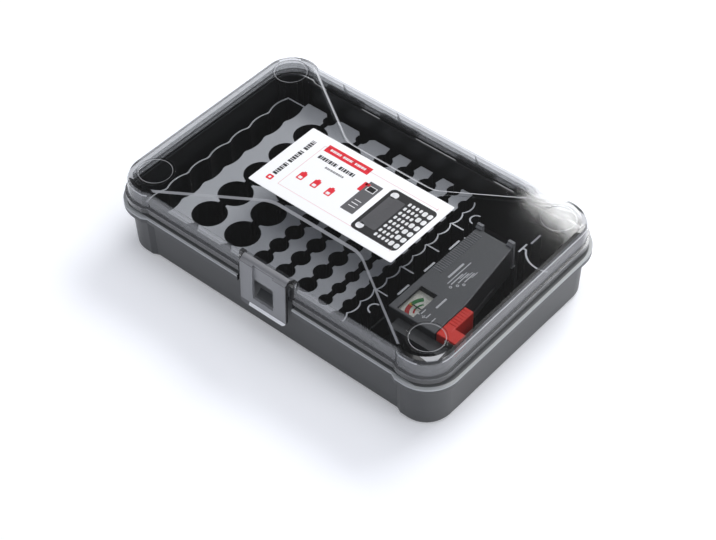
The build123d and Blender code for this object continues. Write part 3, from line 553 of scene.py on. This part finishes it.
class MakeCard(bpy.types.Operator):
    """Printed card on the lid: a plain layout of bars, a frame and battery pictures"""

    bl_idname = "battery_case.card"
    bl_label = "Card"

    base = 65.6          # the card lies on the lid, in millimetres
    face = 65.93
    layer = 0.05 / 3     # one layer of ink
    centre = (-3, 0)
    extent = (132, 70)
    white, red, black, pink, dim = range(5)

    def execute(self, context):
        colours = context.scene.case_colours
        mesh = bmesh.new()
        add_plate(mesh, mm(*self.centre, self.base), mm(*self.extent), (self.face - self.base) * MM, 1.2 * MM)
        self.frame_lines(mesh)
        self.words(mesh)
        self.icons(mesh)
        self.tester_picture(mesh)
        self.case_picture(mesh)
        finish_piece("printed_card", mesh, "lid", [
            printed_card("card_white", colours.card),
            printed_card("card_red", colours.print_red),
            printed_card("card_black", (0.012, 0.012, 0.014)),
            printed_card("card_pink", (0.78, 0.50, 0.50)),
            printed_card("card_grey", (0.10, 0.10, 0.105))], replaces=("label_card",))
        return {"FINISHED"}

    def bar(self, mesh, x, y, width, depth, material, corner=0.0, level=0):
        """Printed block; the level is the layer of ink that it lies on."""
        add_plate(mesh, mm(x, y, self.face + level * self.layer), mm(width, depth), self.layer * MM,
                  corner * MM, material)

    def frame_lines(self, mesh):
        """Thin pink frame, open to the right."""
        for y in (-25.5, 25.5):
            self.bar(mesh, 3.0, y, 104, 0.45, self.pink)
            self.bar(mesh, 55.0, y, 0.45, 3.0, self.pink)
        self.bar(mesh, -49.0, 0, 0.45, 51, self.pink)

    def words(self, mesh):
        """Plain bars where a maker would print its words."""
        self.bar(mesh, -58.0, -24.0, 5.0, 5.0, self.red, 1.0)
        self.bar(mesh, -58.0, -24.0, 2.0, 2.0, self.white, 0.4, 1)
        for y, length in ((-12.5, 14.0), (4.0, 15.0), (19.0, 11.0)):
            self.word(mesh, -58.0, y, 3.8, length, self.black, upright=True)
        self.bar(mesh, -26.5, 25.0, 41.0, 7.6, self.red)
        for x, length in ((-38.0, 10.0), (-26.5, 9.0), (-15.0, 10.0)):
            self.word(mesh, x, 25.0, length, 2.2, self.white, 1)
        for x, length in ((-37.0, 17.0), (-19.0, 14.0)):
            self.word(mesh, x, 14.6, length, 3.6, self.black)
        self.word(mesh, -25.5, 8.4, 17.0, 1.9, self.dim)

    def word(self, mesh, x, y, width, depth, material, level=0, upright=False):
        """Row of small blocks of unlike length, which reads as a word from afar but says nothing."""
        length, height = (depth, width) if upright else (width, depth)
        start = 0.0
        count = 0
        while start < length - 0.4:
            block = min((0.55, 0.3, 0.5, 0.42, 0.2)[count % 5] * height, length - start)
            at = start + block / 2 - length / 2
            self.bar(mesh, x if upright else x + at, y + at if upright else y,
                     height if upright else block, block if upright else height, material, 0.1, level)
            start += block + 0.16 * height
            count += 1

    def icons(self, mesh):
        """Three red battery signs."""
        for x in (-41.0, -28.0, -15.0):
            self.bar(mesh, x, -9.0, 5.4, 8.0, self.red, 0.8)
            self.bar(mesh, x, -4.4, 2.4, 1.2, self.red)
            self.bar(mesh, x, -10.6, 3.0, 2.6, self.white, 0.3, 1)

    def tester_picture(self, mesh):
        """A grey tester with its window, lines and red arm."""
        self.bar(mesh, 6.5, 1.0, 11.5, 34.0, self.dim, 0.6)
        self.bar(mesh, 6.5, 11.5, 7.5, 6.0, self.white, 0.4, 1)
        self.bar(mesh, 6.5, 11.5, 6.1, 4.6, self.black, 0.4, 2)
        self.bar(mesh, -0.6, 10.5, 3.2, 10.0, self.red, 0.8, 1)
        self.bar(mesh, 1.4, 14.0, 4.0, 2.6, self.red, 0.6, 1)
        for y in (-10.0, -6.5, -3.0):
            self.bar(mesh, 6.5, y, 6.0, 0.7, self.white, 0.3, 1)

    def case_picture(self, mesh):
        """A dark case seen from above with rows of pale cells."""
        self.bar(mesh, 38.0, -1.5, 41.0, 49.0, self.black, 4.0)
        self.bar(mesh, 27.5, -1.5, 14.0, 34.0, self.dim, 1.5, 1)
        for y in (-20.5, 17.5):
            self.bar(mesh, 23.0, y, 6.2, 6.2, self.white, 3.0, 1)
        for column in range(4):
            for row in range(8):
                self.bar(mesh, 37.2 + column * 3.4, -20.3 + row * 5.3, 2.1, 3.3, self.white, 0.9, 1)
        for column in range(2):
            for row in range(6):
                self.bar(mesh, 51.2 + column * 4.6, -20.3 + row * 7.3, 3.5, 4.9, self.white, 1.5, 1)


class DressTester(bpy.types.Operator):
    """Finish of the tester, its dial, its marks and its bevelled arm"""

    bl_idname = "battery_case.tester"
    bl_label = "Tester"

    top = 53.0               # top face of the housing, in millimetres
    dial = (49.0, 49.06)     # underside and top of the printed scale
    pivot = (101.5, -44.0)

    def execute(self, context):
        colours = context.scene.case_colours

        def lit_top(s):
            return ((s.z.more((self.top - 0.6) * MM), opaque(shade(colours.tester, 1.25))),)

        black = moulded_plastic("tester_plastic", shade(colours.tester, 0.5), 0.4, zones=lit_top)
        for node in ("tester_housing", "tester_cover", "meter_movement"):
            dress(node, black)
        dress("tester_end_cap", moulded_plastic("cap_plastic", shade(colours.tester, 0.7), 0.4))
        steel = sheet_metal("contact_steel", (0.6, 0.6, 0.58))
        for node in ("tester_screws", "fixed_contact", "arm_contact", "nine_volt_contacts"):
            dress(node, steel)
        dress("load_resistor", moulded_plastic("resistor_lacquer", (0.45, 0.33, 0.18)))
        dress("meter_window", clear_plastic("clear_window", (0.97, 0.97, 0.97), (0.3, 0.3, 0.3), 0.02))
        dress("meter_needle", moulded_plastic("needle_black", (0.02, 0.02, 0.02)))
        self.scale()
        self.ridges(colours)
        self.marks()
        self.arm(colours)
        return {"FINISHED"}

    def scale(self):
        """Printed scale: a wide and a narrow band about the pointer's pivot."""
        dress("meter_dial", printed_card("dial_paper", (0.86, 0.85, 0.76)))
        mesh = bmesh.new()
        low, high = mm(*self.dial)
        pivot = mm(*self.pivot)
        for start, stop, material in ((182, 226, 0), (174, 182, 2), (136, 174, 1)):
            add_arc(mesh, pivot, 11.6 * MM, 14.9 * MM, start, stop, low, high, material)
        for start, stop, material in ((190, 216, 0), (140, 190, 1)):
            add_arc(mesh, pivot, 7.9 * MM, 9.3 * MM, start, stop, low, high, material)
        finish_piece("dial_scale", mesh, "base", [
            printed_card("scale_red", (0.55, 0.012, 0.014)),
            printed_card("scale_green", (0.02, 0.24, 0.05)),
            printed_card("scale_yellow", (0.75, 0.48, 0.04))])

    def ridges(self, colours):
        """Fine raised lines along the left edge of the tester, in a lighter copy of its plastic for painted
        light.
        """
        mesh = bmesh.new()
        for k in range(22):
            y = -10.5 + k * 2.1
            add_box(mesh, mm(79.7, y, self.top), mm(87.5, y + 0.95, self.top + 0.35), 0, 0.1 * MM)
        finish_piece("tester_ridges", mesh, "base", [
            moulded_plastic("ridge_plastic", shade(colours.tester, 2.4), 0.35)])

    def marks(self):
        """Pale plain marks: bars, three lines with round ends, plus and minus signs."""
        mesh = bmesh.new()
        low, high = mm(self.top, self.top + 0.05)

        def bar(x, y, width, depth):
            add_plate(mesh, (x * MM, y * MM, low), mm(width, depth), high - low, 0.2 * MM)

        bar(94.0, -2.5, 1.6, 17.0)
        bar(97.2, -3.0, 0.8, 26.0)
        for x, y, length in ((99.6, -8.5, 13.0), (102.4, -5.0, 12.0), (105.2, -2.0, 11.0)):
            bar(x, y, 0.9, length)
            bar(x + 1.2, y + length / 2 - 1.2, 0.6, length * 0.6)
            add_arc(mesh, mm(x + 1.2, y - length / 2 - 2.2), 0.5 * MM, 1.2 * MM, 0, 360, low, high)
        bar(105.5, -33.0, 1.5, 11.0)
        bar(99.0, -50.0, 3.0, 0.7)
        bar(104.0, -50.0, 3.0, 0.7)
        bar(104.0, -50.0, 0.7, 3.0)
        for x in (101.0, 106.0, 111.0):
            bar(x, -46.5 - (x - 101.0) * 0.2, 0.8, 5.0)
        finish_piece("tester_marks", mesh, "base", [
            printed_card("mark_pale", (0.62, 0.62, 0.63))])

    def arm(self, colours):
        """Slide arm with soft edges, grip lines and its tongue."""
        mesh = bmesh.new()
        add_box(mesh, mm(119.4, -50, 30.5), mm(127, -25, 53), 0, 0.7 * MM)
        add_box(mesh, mm(119.5, -56, 40.0), mm(136.5, -45, 52.9), 0, 0.7 * MM)
        add_box(mesh, mm(113.8, -50, 34.0), mm(120.2, -25, 37.4))
        for k in range(7):
            y = -43.5 + k * 2.6
            add_box(mesh, mm(120.2, y, 52.9), mm(126.2, y + 1.1, 53.35), 0, 0.12 * MM)
        finish_piece("arm_grip", mesh, "arm", [
            moulded_plastic("arm_plastic", colours.arm, 0.35)], replaces=("slide_arm",))


class MakeStage(bpy.types.Operator):
    """Floor, lamps, world and camera"""

    bl_idname = "battery_case.stage"
    bl_label = "Stage"

    def execute(self, context):
        sizes = context.scene.case_sizes
        mesh = bmesh.new()
        bmesh.ops.create_grid(mesh, x_segments=2, y_segments=2, size=sizes.floor_size / 2)
        data = bpy.data.meshes.new("floor")
        mesh.to_mesh(data)
        mesh.free()
        floor = bpy.data.objects.new("floor", data)
        context.scene.collection.objects.link(floor)
        data.materials.append(floor_material("floor_white", (0.8, 0.81, 0.84), 0.25))
        self.lamps(context)
        self.world(context)
        self.camera(context)
        context.scene.view_settings.view_transform = "Standard"
        return {"FINISHED"}

    def lamps(self, context):
        """Large soft lamps: overhead, behind (seen in the lid's rear corner) and weak at the right."""
        for name, place, target, turn, size, power in (    # turn in degrees about the vertical
                ("overhead_lamp", (0.1, 0.1, 1.9), (0, 0, 0), 0, (1.6, 1.2), 10.5),
                ("window_lamp", (0.024, 1.731, 1.57), (0.024, 1.731, 0), -12.9, (1.47, 1.01), 48),
                ("side_lamp", (1.9, 0.2, 0.9), (0, 0, 0), 0, (1.0, 0.8), 9)):
            lamp = bpy.data.lights.new(name, "AREA")
            lamp.shape = "RECTANGLE"
            lamp.size, lamp.size_y = size
            lamp.energy = power
            holder = bpy.data.objects.new(name, lamp)
            aim = Vector(target) - Vector(place)
            facing = aim.to_track_quat("-Z", "Y").to_matrix().to_4x4()
            turned = Matrix.Rotation(math.radians(turn), 4, "Z") @ facing
            holder.matrix_world = Matrix.Translation(place) @ turned
            context.scene.collection.objects.link(holder)

    def world(self, context):
        """White to the camera, a cool fill for the light and almost dark in reflections."""
        world = bpy.data.worlds.new("studio")
        world.use_nodes = True
        nodes = world.node_tree.nodes
        nodes.clear()
        links = world.node_tree.links
        path = nodes.new("ShaderNodeLightPath")
        seen = nodes.new("ShaderNodeMath")
        seen.operation = "MAXIMUM"
        links.new(path.outputs["Is Camera Ray"], seen.inputs[0])
        links.new(path.outputs["Is Transmission Ray"], seen.inputs[1])
        fill = nodes.new("ShaderNodeBackground")
        fill.inputs["Color"].default_value = (0.84, 0.88, 1.0, 1.0)
        fill.inputs["Strength"].default_value = 0.45
        dim = nodes.new("ShaderNodeBackground")
        dim.inputs["Color"].default_value = (1, 1, 1, 1)
        dim.inputs["Strength"].default_value = 0.05
        white = nodes.new("ShaderNodeBackground")
        white.inputs["Color"].default_value = (1, 1, 1, 1)
        lit = nodes.new("ShaderNodeMixShader")
        links.new(path.outputs["Is Glossy Ray"], lit.inputs[0])
        links.new(fill.outputs[0], lit.inputs[1])
        links.new(dim.outputs[0], lit.inputs[2])
        mix = nodes.new("ShaderNodeMixShader")
        links.new(seen.outputs[0], mix.inputs[0])
        links.new(lit.outputs[0], mix.inputs[1])
        links.new(white.outputs[0], mix.inputs[2])
        output = nodes.new("ShaderNodeOutputWorld")
        links.new(mix.outputs[0], output.inputs["Surface"])
        context.scene.world = world

    def camera(self, context):
        """Looks at the case as the photograph does."""
        sizes = context.scene.case_sizes
        a, e, r = sizes.azimuth, sizes.elevation, sizes.roll
        back = Vector((math.sin(a) * math.cos(e), -math.cos(a) * math.cos(e), math.sin(e)))
        level = Vector((math.cos(a), math.sin(a), 0))
        upright = back.cross(level)
        right = level * math.cos(r) + upright * math.sin(r)
        up = upright * math.cos(r) - level * math.sin(r)
        place = Vector((sizes.look_x, sizes.look_y, 0)) + back * sizes.distance
        data = bpy.data.cameras.new("camera")
        data.lens = sizes.lens
        data.sensor_width = 36.0
        data.sensor_fit = "HORIZONTAL"
        holder = bpy.data.objects.new("camera", data)
        matrix = Matrix((right, up, back)).transposed().to_4x4()
        matrix.translation = place
        holder.matrix_world = matrix
        context.scene.collection.objects.link(holder)
        context.scene.camera = holder


PIECES = (DressTray, DressRack, DressLid, MakeCard, DressTester, MakeStage)


class CasePanel(bpy.types.Panel):
    """Lists the pieces of the case"""

    bl_idname = "VIEW3D_PT_battery_case"
    bl_label = "Battery Case"
    bl_space_type = "VIEW_3D"
    bl_region_type = "UI"
    bl_category = "Battery Case"

    def draw(self, context):
        column = self.layout.column()
        for piece in PIECES:
            column.operator(piece.bl_idname)


CLASSES = (CaseColours, CaseSizes) + PIECES + (CasePanel,)


def register():
    for kind in CLASSES:
        bpy.utils.register_class(kind)
    bpy.types.Scene.case_colours = bpy.props.PointerProperty(type=CaseColours)
    bpy.types.Scene.case_sizes = bpy.props.PointerProperty(type=CaseSizes)


def unregister():
    del bpy.types.Scene.case_sizes
    del bpy.types.Scene.case_colours
    for kind in reversed(CLASSES):
        bpy.utils.unregister_class(kind)


def main():
    register()
    bpy.ops.battery_case.tray()
    bpy.ops.battery_case.rack()
    bpy.ops.battery_case.lid()
    bpy.ops.battery_case.card()
    bpy.ops.battery_case.tester()
    bpy.ops.battery_case.stage()


if __name__ == "__main__":
    main()
